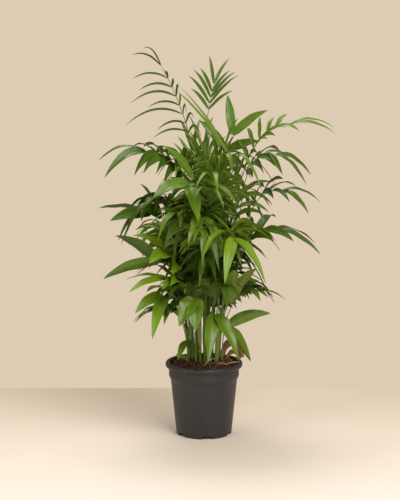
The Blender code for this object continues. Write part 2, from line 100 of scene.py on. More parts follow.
def joinTubes(name, tubes, finish, body="root"):
    # Each tube is a grid of rings (rings, sides, 3) with its marks (rings, sides + 1, 2), the
    # place on the surface of each ring's points. Quads join the rings, and a face closes each end.
    points, quads, caps, quadMarks, capMarks = [], [], [], [], []
    first = 0
    for grid, marks in tubes:
        grid, marks = facing(grid, marks)
        rings, sides = grid.shape[:2]
        number = first + np.arange(rings * sides).reshape(rings, sides)
        after = np.roll(number, -1, axis=1)
        quads.append(np.stack((number[:-1], after[:-1], after[1:], number[1:]), -1).reshape(-1, 4))
        around = (marks[:-1, :-1], marks[:-1, 1:], marks[1:, 1:], marks[1:, :-1])
        quadMarks.append(np.stack(around, -2).reshape(-1, 2))
        caps += [number[0, ::-1], number[-1]]
        capMarks += [marks[0, :-1][::-1], marks[-1, :-1]]
        points.append(grid.reshape(-1, 3))
        first += rings * sides
    quads = np.concatenate(quads)
    order = np.concatenate([quads.ravel()] + caps)
    corners = np.array([4] * len(quads) + [len(cap) for cap in caps])
    mesh = bpy.data.meshes.new(name)
    mesh.vertices.add(first)
    mesh.vertices.foreach_set("co", np.concatenate(points).ravel().astype(np.float32))
    mesh.loops.add(len(order))
    mesh.loops.foreach_set("vertex_index", order.astype(np.int32))
    mesh.polygons.add(len(corners))
    mesh.polygons.foreach_set("loop_start", (np.cumsum(corners) - corners).astype(np.int32))
    mesh.update(calc_edges=True)
    layer = mesh.uv_layers.new(name="place")
    layer.data.foreach_set("uv", np.concatenate(quadMarks + capMarks).ravel().astype(np.float32))
    mesh.shade_smooth()
    mesh.set_sharp_from_angle(angle=math.radians(50))
    mesh.materials.append(finish)
    piece = bpy.data.objects.new(name, mesh)
    bpy.context.collection.objects.link(piece)
    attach(piece, body)
    return piece


def evenMarks(rings, sides):  # marks that run from 0 to 1 round a tube and along it
    across, along = np.meshgrid(np.linspace(0.0, 1.0, sides + 1), np.linspace(0.0, 1.0, rings))
    return np.stack((across, along), -1)


def sweep(centres, rights, uppers, across, height):
    # A profile carried along a path: centre + right * across + upper * height
    return (centres[:, None] + rights[:, None] * across[..., None]
            + uppers[:, None] * height[..., None])


# Shader nodes

class Wire:  # a socket that takes part in sums; each sum adds one Math node
    def __init__(self, paint, socket):
        self.paint = paint
        self.socket = socket

    def sum(self, operation, first, second):
        return self.paint.node("ShaderNodeMath", {"operation": operation}, {0: first, 1: second})

    def __add__(self, other):
        return self.sum("ADD", self, other)

    def __rsub__(self, other):
        return self.sum("SUBTRACT", other, self)

    def __mul__(self, other):
        return self.sum("MULTIPLY", self, other)

    def __pow__(self, other):
        return self.sum("POWER", self, other)

    def __gt__(self, other):
        return self.sum("GREATER_THAN", self, other)


class Paint:  # a material under construction
    def __init__(self, name, roughness, specular=0.5):
        self.material = bpy.data.materials.new(name)
        self.material.use_nodes = True
        self.tree = self.material.node_tree
        self.shader = self.tree.nodes["Principled BSDF"]
        self.shader.inputs["Roughness"].default_value = roughness
        self.shader.inputs["Specular IOR Level"].default_value = specular

    def node(self, kind, settings, values, output=0):
        made = self.tree.nodes.new(kind)
        for key, value in settings.items():
            setattr(made, key, value)
        for key, value in values.items():
            self.feed(made.inputs[key], value)
        return Wire(self, made.outputs[output])

    def feed(self, socket, value):
        if isinstance(value, Wire):
            self.tree.links.new(value.socket, socket)
        else:
            socket.default_value = value

    def set(self, key, value):
        self.feed(self.shader.inputs[key], value)

    def objectPlace(self):
        return self.node("ShaderNodeTexCoord", {}, {}, "Object")

    def part(self, wire, axis):  # one part of a vector
        return self.node("ShaderNodeSeparateXYZ", {}, {0: wire}, axis)

    def mark(self, axis):  # the mark across the surface, 0, or along it, 1
        return self.part(self.node("ShaderNodeUVMap", {"uv_map": "place"}, {}), axis)

    def nearWhole(self, wire):  # how far a mark is from the nearest whole number
        return self.node("ShaderNodeMath", {"operation": "PINGPONG"}, {0: wire, 1: 0.5})

    def clouds(self, scale, detail=3.0, stretch=(1.0, 1.0, 1.0)):
        place = self.node("ShaderNodeMapping", {}, {"Vector": self.objectPlace(), "Scale": stretch})
        values = {"Vector": place, "Scale": scale, "Detail": detail}
        return self.node("ShaderNodeTexNoise", {}, values, 0)

    def between(self, wire, low, high):  # 0 below low, 1 above high
        values = {0: wire, 1: low, 2: high, 3: 0.0, 4: 1.0}
        return self.node("ShaderNodeMapRange", {"interpolation_type": "SMOOTHSTEP"}, values)

    def blend(self, factor, first, second):  # a mix of two colours
        values = {0: factor, 6: first, 7: second}
        return self.node("ShaderNodeMix", {"data_type": "RGBA"}, values, 2)

    def wave(self, wire, turns):  # a sine of a mark, from -1 to 1
        angle = wire * (turns * 2.0 * math.pi)
        return self.node("ShaderNodeMath", {"operation": "SINE"}, {0: angle})

    def relief(self, height, distance, strength=1.0):
        values = {"Height": height, "Distance": distance, "Strength": strength}
        self.set("Normal", self.node("ShaderNodeBump", {}, values))


def rgba(colour, gain=1.0):  # a colour with full opacity, made lighter or darker
    return (*[min(1.0, part * gain) for part in colour], 1.0)


def grainPaint(name, roughness, colour, dark, light, grain):  # one colour, varied by its grain
    paint = Paint(name, roughness, 0.25)
    fibre = paint.clouds(*grain)
    paint.set("Base Color", paint.blend(fibre, rgba(colour, dark), rgba(colour, light)))
    paint.relief(fibre, 0.0008, 0.6)
    return paint.material


# Camera, floor and light

camera = {
    "place": (-0.0109, -4.5, 1.2735),
    "pitch": 9.66,
    "lens": 121.8,  # millimetres, as is the sensor
    "sensor": 36.0,
    "farthest": 100.0,
}
studio = {
    "floor": (0.750, 0.670, 0.585),
    # the far floor's colour is painted shade: the same floor, darker where less light reaches it near
    # the wall
    "shadedFarFloor": (0.585, 0.490, 0.385),
    "wall": (0.745, 0.610, 0.460),
    "farEdge": 0.485,
    "reach": 6.0,
    "shadeFade": (-0.55, 0.75),  # where the near tone ends and the far one, painted shade, starts
    "shadeFadeMottle": 0.3,
    "wallLooks": 0.98,
    "wallLight": 0.50,
    # name, place, the point it faces, size, power
    "lamps": (
        ("keyLamp", (1.2, -2.2, 2.9), (0.0, 0.0, 0.55), 1.9, 112.0),
        ("fillLamp", (-2.4, -1.9, 1.5), (0.0, 0.0, 0.50), 1.3, 26.0),
        ("topLamp", (-0.3, 0.9, 2.9), (0.0, 0.0, 0.60), 1.3, 44.0),
        ("potLamp", (1.0, -2.6, 0.45), (0.0, 0.0, 0.15), 0.6, 9.0),
    ),
}


def makeCamera():
    lens = bpy.data.cameras.new("camera")
    lens.lens = camera["lens"]
    lens.sensor_width = camera["sensor"]
    lens.clip_end = camera["farthest"]
    eye = bpy.data.objects.new("camera", lens)
    eye.location = camera["place"]
    eye.rotation_euler = (math.radians(90.0 - camera["pitch"]), 0.0, 0.0)
    bpy.context.collection.objects.link(eye)
    bpy.context.scene.camera = eye


def makeFloor():  # a floor, plain but for painted shade that darkens it towards the back, that ends where the wall begins
    reach, far = studio["reach"], studio["farEdge"]
    mesh = bpy.data.meshes.new("floor")
    corners = [(-reach, -reach, 0.0), (reach, -reach, 0.0), (reach, far, 0.0), (-reach, far, 0.0)]
    mesh.from_pydata(corners, [], [(0, 1, 2, 3)])
    paint = Paint("floorPaint", 0.75)
    mottle = paint.clouds(3.0, 5.0)
    depth = paint.part(paint.objectPlace(), 1)
    # painted shade: the colour fades with depth from the near tone to the darker far one, along a
    # mottled edge
    away = paint.between(depth + mottle * studio["shadeFadeMottle"], *studio["shadeFade"])
    paint.set("Base Color", paint.blend(away, rgba(studio["floor"]), rgba(studio["shadedFarFloor"])))
    mesh.materials.append(paint.material)
    floor = bpy.data.objects.new("floor", mesh)
    bpy.context.collection.objects.link(floor)


def makeLight():
    world = bpy.data.worlds.new("wall")
    world.use_nodes = True
    nodes, links = world.node_tree.nodes, world.node_tree.links
    wall = nodes["Background"]
    wall.inputs["Color"].default_value = rgba(studio["wall"])
    seen = nodes.new("ShaderNodeLightPath")  # the wall looks brighter than the light it gives
    strength = nodes.new("ShaderNodeMapRange")
    strength.inputs["To Min"].default_value = studio["wallLight"]
    strength.inputs["To Max"].default_value = studio["wallLooks"]
    links.new(seen.outputs["Is Camera Ray"], strength.inputs["Value"])
    links.new(strength.outputs["Result"], wall.inputs["Strength"])
    bpy.context.scene.world = world
    for name, place, target, size, power in studio["lamps"]:
        lamp = bpy.data.lights.new(name, "AREA")
        lamp.size = size
        lamp.energy = power
        holder = bpy.data.objects.new(name, lamp)
        holder.location = place
        back = np.array(place) - np.array(target)
        tilt = math.atan2(math.hypot(back[0], back[1]), back[2])
        holder.rotation_euler = (tilt, 0.0, math.atan2(back[0], -back[1]))
        bpy.context.collection.objects.link(holder)
    bpy.context.scene.view_settings.view_transform = "Standard"


# Pot

pot = {
    "sides": 192,
    "height": 0.200,
    "baseRadius": 0.0755,
    "wallRadius": 0.0905,
    "collarRadius": 0.0955,
    "rimRadius": 0.1050,
    "collarFoot": 0.150,
    "collarTop": 0.186,
    "wall": 0.0020,
    "floor": 0.0090,
    "notches": 6,
    "notchStart": -84.0,
    "notchWidth": 0.0230,
    "notchHeight": 0.0075,
    "notchDepth": 0.0140,
    "notchSoft": 0.012,  # radians, on each side of a notch's edge
    "notchTop": (0.0004, 0.0006),  # how far its top fades below and above its height
    # radius and height of the underside's rings, then inset and height of the foot's rounding
    "underside": ((0.0006, 0.0), (0.045, 0.0), (0.068, 0.0), (0.0712, 0.0), (0.0738, 0.0001)),
    "footRound": ((0.0012, 0.0002), (0.0004, 0.0009)),
    # first height, last height and number of the outer wall's rings
    "outside": ((0.0022, 0.0022, 1), (0.0035, 0.0095, 13), (0.013, 0.1495, 40),
                (0.1505, 0.1615, 7), (0.163, 0.1852, 12)),
    "rimSteps": 13,
    "rimShare": 0.62,  # the rim's roll is this wide for its height
    "lip": ((0.0032, 0.0002), (0.0008, 0.0014)),  # past the inner wall, and below the rim's top
    "inside": ((0.196, 0.166, 6), (0.15, 0.05, 3)),  # the inner wall's rings, straight and tapered
    "floorRings": (0.03, 0.0006),
    "colour": (0.020, 0.020, 0.020),
    "dust": (0.060, 0.058, 0.055),
}


def wallRadius(heights):  # the outer radius on the tapered wall and the collar
    wall = pot["baseRadius"] + (pot["wallRadius"] - pot["baseRadius"]) * heights / pot["collarFoot"]
    share = (heights - pot["collarFoot"]) / (pot["collarTop"] - pot["collarFoot"])
    step = np.clip(3.0 * share, 0.0, 1.0)
    collar = pot["wallRadius"] + (pot["collarRadius"] - pot["wallRadius"]) * step
    return np.where(heights < pot["collarFoot"], wall, collar)


def potProfile():  # radius and height, from the middle of the underside to that of the floor
    rows = list(pot["underside"])
    rows += [(pot["baseRadius"] - inset, z) for inset, z in pot["footRound"]]
    heights = np.concatenate([np.linspace(*stretch) for stretch in pot["outside"]])
    rows += list(zip(wallRadius(heights), heights))
    roll = np.radians(np.linspace(-90.0, 90.0, pot["rimSteps"]))  # the rolled rim, as a half circle
    middle = 0.5 * (pot["collarTop"] + pot["height"])
    half = 0.5 * (pot["height"] - pot["collarTop"])
    width = half * pot["rimShare"]
    centre = pot["rimRadius"] - width
    rows += [(centre + width * math.cos(a), middle + half * math.sin(a)) for a in roll]
    inner = pot["collarRadius"] - pot["wall"]
    rows += [(inner + past, pot["height"] - below) for past, below in pot["lip"]]
    straight, tapered = pot["inside"]
    rows += [(inner, z) for z in np.linspace(*straight)]
    heights = np.append(np.linspace(*tapered), pot["floor"])
    rows += list(zip(wallRadius(heights) - pot["wall"], heights))
    rows += [(radius, pot["floor"]) for radius in pot["floorRings"]]
    return np.array(rows, dtype=float)


def makePot():
    # A profile turned round Z: (radius cos a, radius sin a, height). Round the foot the radius
    # drops inside each notch, by the notch's depth times a smooth window over angle and height.
    profile = potProfile()
    radius, height = profile[:, :1], profile[:, 1:]
    angles = roundAngles(pot["sides"])
    starts = math.radians(pot["notchStart"]) + roundAngles(pot["notches"])
    away = np.abs((angles[:, None] - starts + math.pi) % (2.0 * math.pi) - math.pi).min(axis=1)
    half = 0.5 * pot["notchWidth"] / pot["baseRadius"]
    window = 1.0 - ramp(half - pot["notchSoft"], half + pot["notchSoft"], away)
    below, above = pot["notchTop"]
    low = 1.0 - ramp(pot["notchHeight"] - below, pot["notchHeight"] + above, height)
    cut = np.minimum(radius, pot["baseRadius"] - pot["notchDepth"]) - radius
    grid = turnedRound(radius + cut * window * low, height, angles)
    marks = evenMarks(len(profile), pot["sides"])
    piece = joinTubes("potShell", [(grid, marks)], potPaint())
    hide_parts("pot")


def potPaint():
    paint = Paint("nurseryPlastic", 0.5, 0.42)
    grain = paint.clouds(900.0, 2.0)
    streaks = paint.clouds(26.0, 4.0, (1.0, 1.0, 0.12))
    cloud = paint.clouds(14.0, 5.0)
    dusty = paint.between(cloud, 0.55, 0.80) * 0.18 + paint.between(streaks, 0.60, 0.78) * 0.22
    paint.set("Base Color", paint.blend(dusty, rgba(pot["colour"]), rgba(pot["dust"])))
    paint.set("Roughness", cloud * 0.08 + streaks * 0.10 + 0.36)
    paint.relief(grain + streaks * 1.5, 0.0002, 0.35)
    return paint.material


# Soil and what lies on it

soil = {
    "top": 0.2010,
    "flat": 0.0600,
    "shoulder": 0.0740,
    "shoulderDrop": 0.0040,
    "edge": 0.1875,
    "edgeRadius": 0.0934,
    "lumps": 0.00088,
    "lumpShift": 0.6,
    "lumpStart": 0.015,
    "mound": 0.0050,
    "moundEdge": 0.070,
    "sides": 144,
    "firstRing": (0.0008, 0.004),
    "rings": 46,
    # radius and height of the filling's rings inside the pot
    "inside": ((0.0930, 0.180), (0.0926, 0.165), (0.0882, 0.150), (0.0745, 0.0095), (0.0008, 0.0095)),
    "chips": 900,
    "chipReach": 0.0905,
    "chipLong": (0.004, 0.012),
    "chipWide": (0.002, 0.006),
    "chipThick": (0.001, 0.0028),
    "chipLift": 0.0012,
    "chipTilt": 0.35,
    "chipSides": 6,
    "chipAlong": (0.0, 0.18, 0.55, 0.88, 1.0),
    "chipGirth": (0.35, 0.9, 1.0, 0.75, 0.3),
    "chipRagged": (0.7, 1.2),
    "colour": (0.052, 0.022, 0.011),
    "chipColours": ((0.120, 0.042, 0.018), (0.210, 0.085, 0.038), (0.040, 0.018, 0.010)),
}


def soilHeight(radius, angle):  # a low dome with lumps, by radius and angle about Z
    rows = ((0.0, soil["top"]), (soil["flat"], soil["top"]),
            (soil["shoulder"], soil["top"] - soil["shoulderDrop"]), (soil["edgeRadius"], soil["edge"]))
    dome = np.interp(radius, *zip(*rows))
    waves = (np.sin(5 * angle + 170 * radius) * np.sin(210 * radius + 1.0)
             + 0.7 * np.sin(11 * angle - 260 * radius) + 0.5 * np.sin(23 * angle + 420 * radius))
    mound = soil["mound"] * (1.0 - ramp(soil["moundEdge"], soil["edgeRadius"], radius))
    lumps = soil["lumps"] * (waves - soil["lumpShift"]) * ramp(0.0, soil["lumpStart"], radius)
    return dome + mound + lumps


def makeSoil():
    # The filling: rings of a dome with lumps, closed by the inside of the pot below
    angles = roundAngles(soil["sides"])
    middle, second = soil["firstRing"]
    radii = np.append(middle, np.linspace(second, soil["edgeRadius"], soil["rings"]))[:, None]
    side = np.array(soil["inside"])
    grid = np.concatenate((turnedRound(radii, soilHeight(radii, angles), angles),
                           turnedRound(side[:, :1], side[:, 1:], angles)))
    paint = Paint("pottingMix", 0.95, 0.2)
    crumbs = paint.clouds(260.0, 6.0)
    fibres = paint.clouds(90.0, 4.0, (1.0, 4.0, 1.0))
    light = paint.between(crumbs, 0.40, 0.68)
    paint.set("Base Color", paint.blend(light, rgba(soil["colour"], 0.45), rgba(soil["colour"], 1.9)))
    paint.relief(crumbs + fibres * 0.5, 0.004, 0.9)
    marks = evenMarks(len(grid), soil["sides"])
    piece = joinTubes("pottingMix", [(grid, marks)], paint.material)
    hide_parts("soil")


def chunk(centre, size, spin, tilt):
    # A chip of bark: rings of a flattened, jagged tube, with a radius that varies by a draw
    along = np.array(soil["chipAlong"])
    girth = np.array(soil["chipGirth"])
    rings, sides = len(along), soil["chipSides"]
    angles = roundAngles(sides)
    ragged = girth[:, None] * draw.uniform(*soil["chipRagged"], (rings, sides))
    right = np.array([math.cos(spin), math.sin(spin), 0.0])
    ahead = np.array([-math.sin(spin) * math.cos(tilt), math.cos(spin) * math.cos(tilt), math.sin(tilt)])
    centres = centre + ahead * (along[:, None] - 0.5) * size[0]
    rights = np.repeat(right[None], rings, axis=0)
    uppers = np.repeat(np.cross(right, ahead)[None], rings, axis=0)
    across = ragged * np.cos(angles) * size[1] * 0.5
    height = ragged * np.sin(angles) * size[2] * 0.5
    return sweep(centres, rights, uppers, across, height), evenMarks(rings, sides)


def makeChips():
    groups = [[] for _ in soil["chipColours"]]
    for number in range(soil["chips"]):
        radius = soil["chipReach"] * math.sqrt(draw.uniform(0.0, 1.0))
        angle = draw.uniform(0.0, 2.0 * math.pi)
        size = [draw.uniform(*soil[measure]) for measure in ("chipLong", "chipWide", "chipThick")]
        height = float(soilHeight(radius, angle)) + draw.uniform(0.0, soil["chipLift"])
        centre = np.array([radius * math.cos(angle), radius * math.sin(angle), height])
        spin, tilt = draw.uniform(0.0, math.pi), draw.uniform(-soil["chipTilt"], soil["chipTilt"])
        groups[number % len(groups)].append(chunk(centre, size, spin, tilt))
    grain = (420.0, 4.0, (1.0, 1.0, 3.0))
    for number, (chips, colour) in enumerate(zip(groups, soil["chipColours"]), 1):
        paint = grainPaint(f"barkChip{number}", 0.85, colour, 0.6, 1.5, grain)
        joinTubes(f"barkChips{number}", chips, paint)


# Canes

canes = {
    "radius": 0.0040,
    "taper": 0.80,
    "bend": 0.60,
    "sides": 20,
    "rings": 150,
    "internode": 0.042,
    "swelling": 0.13,
    "nodeWidth": 0.0045,
    "scarSwelling": 0.10,
    "scarWidth": 0.0009,
    "scarShare": (0.012, 0.045),  # of an internode: where a scar's paint ends
    "sunk": 0.012,
    "green": (0.040, 0.098, 0.003),
    "pale": (0.100, 0.185, 0.006),
    "scar": (0.300, 0.230, 0.110),
}
Cane = namedtuple("Cane", "foot head top")  # x and y at the soil and at the top, the top's height
caneList = (
    Cane((-0.031, -0.014), (-0.050, -0.020), 0.45),
    Cane((-0.016, 0.020), (-0.021, 0.034), 0.55),
    Cane((0.001, -0.026), (0.004, -0.032), 0.50),
    Cane((0.009, 0.010), (0.013, 0.012), 0.60),
    Cane((0.021, -0.010), (0.042, -0.014), 0.53),
    Cane((0.040, 0.016), (0.070, 0.034), 0.46),
    Cane((-0.040, 0.026), (-0.068, 0.050), 0.41),
    Cane((0.012, 0.044), (0.018, 0.078), 0.49),
    Cane((-0.010, -0.044), (-0.016, -0.066), 0.38),
    Cane((0.032, -0.036), (0.050, -0.056), 0.36),
)


def caneShare(cane, height):
    return (height - soil["top"]) / (cane.top - soil["top"])


def canePoint(cane, height):  # the middle of a cane at a height: upright at the soil, leaning out
    share = caneShare(cane, height)
    bend = share * share * canes["bend"] + share * (1.0 - canes["bend"])
    x = cane.foot[0] + (cane.head[0] - cane.foot[0]) * bend
    y = cane.foot[1] + (cane.head[1] - cane.foot[1]) * bend
    return np.stack((x, y, height + 0.0 * share), -1)


def caneRadius(cane, height):
    return canes["radius"] * (1.0 - (1.0 - canes["taper"]) * caneShare(cane, height))


def makeCanes():
    # Each cane is a tube: the radius swells at every node, and a thin scar stands out on it
    tubes = []
    ring = turnedRound(1.0, 0.0, roundAngles(canes["sides"]))
    for number, cane in enumerate(caneList):
        heights = np.linspace(soil["top"] - canes["sunk"], cane.top, canes["rings"])
        phase = (heights - soil["top"]) / canes["internode"] + 0.5 + 0.4 * noise(number, 2)
        near = np.abs(phase - np.round(phase)) * canes["internode"]
        swell = 1.0 + canes["swelling"] * bump(near, canes["nodeWidth"])
        swell = swell + canes["scarSwelling"] * bump(near, canes["scarWidth"])
        radius = caneRadius(cane, heights) * swell
        grid = canePoint(cane, heights)[:, None] + radius[:, None, None] * ring
        marks = evenMarks(canes["rings"], canes["sides"])
        marks[..., 1] = phase[:, None]
        tubes.append((grid, marks))
    piece = joinTubes("canes", tubes, canePaint())
    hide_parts(*[f"cane_{number + 1:02d}" for number in range(len(caneList))])


def canePaint():
    paint = Paint("caneSkin", 0.50, 0.22)
    cloud = paint.clouds(55.0, 4.0, (1.0, 1.0, 0.3))
    streak = paint.clouds(400.0, 3.0, (1.0, 1.0, 0.06))
    skin = paint.blend(cloud * 0.7 + streak * 0.3, rgba(canes["green"], 0.65), rgba(canes["pale"]))
    scar = 1.0 - paint.between(paint.nearWhole(paint.mark(1)), *canes["scarShare"])
    paint.set("Base Color", paint.blend(scar * 0.8, skin, rgba(canes["scar"])))
    paint.relief(streak, 0.0003, 0.3)
    return paint.material


# Fronds: the list, and the rule that they grow by

ribs = {
    "half": 0.0019, "taper": 0.45, "depth": 0.9, "rise": 0.9, "lean": 0.25,
    "start": 0.40, "end": 0.35, "seat": 0.0060, "tipStep": 0.35, "gap": 0.0003,
    "turns": (0, 5, -5, 10, -10, 15, -15, 20, -20, 27, -27, 34, -34, 42, -42),
    "drops": (0.0, 0.015, 0.030),
    "sides": 10, "rings": 34, "foot": 0.0030, "footShare": 0.10, "tipGirth": 0.4,
    "channel": 0.22, "channelWidth": 0.5, "sunk": 0.002, "sunkShare": 0.05, "close": 0.0002,
    "colour": (0.105, 0.180, 0.022), "shade": (0.048, 0.105, 0.010),
}
# A frond's cane and height there, its rib's tip, and how that nods and rolls; then the number,
# length, width, angles, droop and lift of its leaflets, and the share of the rib that is bare
Frond = namedtuple(
    "Frond",
    "cane height tip nod roll pairs leaf width spread close fork droop lift petiole end",
    defaults=(10, 0, 5, 0.13, 0.018, 58, 34, 14, 0.35, 12, 0.5, 1.0),
)
frondList = (
    # top of the crown
    Frond(4, 0.51, (-0.114, -0.050, 1.008), nod=-60, roll=140, pairs=7, leaf=0.155, width=0.013,
          spread=62, close=45, droop=0.42, lift=40, petiole=0.62, end=0.66),
    Frond(1, 0.53, (0.028, 0.160, 0.945), nod=-52, pairs=4, leaf=0.118, width=0.013, spread=45,
          close=30, fork=20, droop=0.08, petiole=0.82, end=0.9),
    Frond(3, 0.54, (0.078, 0.050, 0.815), nod=-62, roll=-45, pairs=1, leaf=0.118, width=0.018,
          fork=30, droop=0.05, petiole=0.84),
    Frond(4, 0.49, (0.072, -0.030, 0.760), nod=-132, pairs=0, leaf=0.250, width=0.013, fork=4,
          droop=0.02, petiole=0.9),
    # right of the crown, from the top down
    Frond(4, 0.46, (0.232, 0.000, 0.848), nod=-5, roll=-25, pairs=6, leaf=0.100, width=0.014,
          droop=0.30, lift=25, petiole=0.55, end=1.2),
    Frond(5, 0.44, (0.198, 0.020, 0.765), nod=10, roll=-15, pairs=4, leaf=0.105, width=0.018,
          droop=0.50, lift=0, petiole=0.64),
    Frond(5, 0.40, (0.208, -0.030, 0.672), nod=5, roll=-15, pairs=4, leaf=0.125, width=0.017,
          droop=0.42, petiole=0.56, end=0.8),
    Frond(9, 0.34, (0.182, -0.050, 0.565), nod=5, roll=-15, pairs=2, leaf=0.135, width=0.019,
          fork=20, droop=0.35, petiole=0.74),
    # front of the crown
    Frond(9, 0.32, (0.060, -0.160, 0.562), nod=40, pairs=4, leaf=0.150, width=0.024, spread=95,
          close=50, fork=32, droop=0.68, lift=32, petiole=0.7, end=0.74),
    Frond(2, 0.47, (-0.040, -0.100, 0.700), nod=30, roll=35, pairs=1, leaf=0.185, width=0.026,
          spread=80, fork=35, droop=0.22, petiole=0.90, end=0.65),
    Frond(2, 0.30, (0.030, -0.110, 0.352), nod=50, pairs=0, leaf=0.115, width=0.026, fork=15,
          droop=0.45, petiole=0.9),
    Frond(8, 0.31, (-0.026, -0.120, 0.395), nod=50, pairs=0, leaf=0.090, width=0.032, fork=14,
          droop=0.35, petiole=0.9),
    Frond(9, 0.28, (0.080, -0.090, 0.382), nod=-50, pairs=0, leaf=0.165, width=0.027, fork=10,
          droop=0.10, petiole=0.9),
    Frond(9, 0.235, (0.062, -0.044, 0.303), nod=26, roll=80, pairs=0, leaf=0.125, width=0.021,
          fork=36, droop=0.14, petiole=0.9),
    # left of the crown, from the top down
    Frond(3, 0.56, (-0.155, -0.030, 0.776), nod=-10, roll=20, pairs=5, leaf=0.130, width=0.018,
          spread=55, close=36, droop=0.55, petiole=0.52),
    Frond(6, 0.39, (-0.145, 0.020, 0.604), nod=0, roll=22, pairs=2, leaf=0.120, width=0.022,
          droop=0.05, petiole=0.72, end=1.15),
    Frond(0, 0.39, (-0.085, -0.060, 0.500), nod=-20, roll=35, pairs=1, leaf=0.125, width=0.032,
          droop=0.20, petiole=0.75, end=1.1),
    Frond(8, 0.35, (-0.120, -0.100, 0.492), nod=-14, roll=-75, pairs=0, leaf=0.150, width=0.024,
          fork=25, droop=0.08, petiole=0.9),
    Frond(8, 0.32, (-0.090, -0.090, 0.440), nod=-5, roll=15, pairs=3, leaf=0.120, width=0.020,
          droop=0.24, petiole=0.66, end=1.1),
    Frond(6, 0.28, (-0.105, -0.050, 0.386), nod=15, roll=20, pairs=1, leaf=0.120, width=0.023,
          droop=0.50, petiole=0.75),
    Frond(6, 0.23, (-0.045, -0.050, 0.266), nod=25, pairs=0, leaf=0.076, width=0.014, droop=0.15,
          petiole=0.9),
)
fillers = {
    "count": 26, "step": 137.5, "first": 65.0, "below": 0.020, "layer": 0.050, "layerJitter": 0.4,
    "wide": 0.70, "deep": 1.15, "reach": 0.120, "rise": 0.240, "top": 0.79, "nod": 15.0,
    "droop": 0.60, "every": 4, "thinReach": 0.060, "thinRise": 0.320, "thinTop": 0.77,
    "reachJitter": 0.020, "riseJitter": 0.050, "nodJitter": 30.0, "droopJitter": 0.20,
}


def filler(index):  # a frond by rule: the canes in turn, each at the golden angle from the last
    number = index % len(caneList)
    cane = caneList[number]
    layer = index // len(caneList) + fillers["layerJitter"] * noise(index, 3)
    height = cane.top - fillers["below"] - fillers["layer"] * layer
    thin = index % fillers["every"] == fillers["every"] - 1
    reach = fillers["thinReach" if thin else "reach"] + fillers["reachJitter"] * noise(index, 5)
    rise = fillers["thinRise" if thin else "rise"] + fillers["riseJitter"] * noise(index, 9)
    top = min(height + rise, fillers["thinTop" if thin else "top"])
    angle = math.radians(fillers["first"] + fillers["step"] * index)
    root = canePoint(cane, height)
    x = root[0] + reach * fillers["wide"] * math.cos(angle)
    y = root[1] + reach * fillers["deep"] * math.sin(angle)
    if thin:
        return Frond(number, height, (x, y, top), nod=-70, pairs=5, leaf=0.115, width=0.014,
                     spread=34, close=20, droop=0.12, lift=8, petiole=0.5)
    nod = fillers["nod"] + fillers["nodJitter"] * noise(index, 11)
    droop = fillers["droop"] + fillers["droopJitter"] * noise(index, 13)
    return Frond(number, height, (x, y, top), nod=nod, pairs=6, leaf=0.115, width=0.018,
                 droop=droop, petiole=0.5)


def ribCurve(frond, turn, drop):  # the rib's cubic curve and the way it faces
    cane = caneList[frond.cane]
    root = canePoint(cane, frond.height - drop)
    reach = np.array(frond.tip) - root
    ahead, across = turned(np.array([1.0, 0.0, 0.0]), np.array([0.0, 1.0, 0.0]), turn)
    reach = ahead * reach[0] + across * reach[1] + up * reach[2]
    out = unit(reach * (1.0, 1.0, 0.0))
    start = root + out * (caneRadius(cane, root[2]) + ribs["gap"])
    chord = root + reach - start
    length = np.linalg.norm(chord)
    first = unit(chord / length + up * ribs["rise"] + out * ribs["lean"])
    angle = math.radians(frond.nod)
    last = out * math.cos(angle) - up * math.sin(angle)
    tip = root + reach
    return (start, start + first * length * ribs["start"], tip - last * length * ribs["end"], tip), out


def ribFrame(controls, out, roll, share):
    # Point a(1-s)^3 + 3b(1-s)^2 s + 3c(1-s)s^2 + ds^3, its direction, right side and upper normal
    a, b, c, d = controls
    share = np.asarray(share, dtype=float)[..., None]
    rest = 1.0 - share
    point = a * rest**3 + 3.0 * b * rest**2 * share + 3.0 * c * rest * share**2 + d * share**3
    along = unit((b - a) * rest**2 + 2.0 * (c - b) * rest * share + (d - c) * share**2)
    side = np.cross(out, up) + 0.0 * along
    side = unit(side - along * (side * along).sum(-1, keepdims=True))
    normal = np.cross(side, along)
    side, normal = turned(side, normal, np.asarray(roll, dtype=float)[..., None])
    return point, along, side, normal


def leafShares(frond):
    step = (1.0 - frond.petiole) / (frond.pairs + ribs["tipStep"])
    return [frond.petiole + step * pair for pair in range(frond.pairs)] + [1.0]


# Leaflets

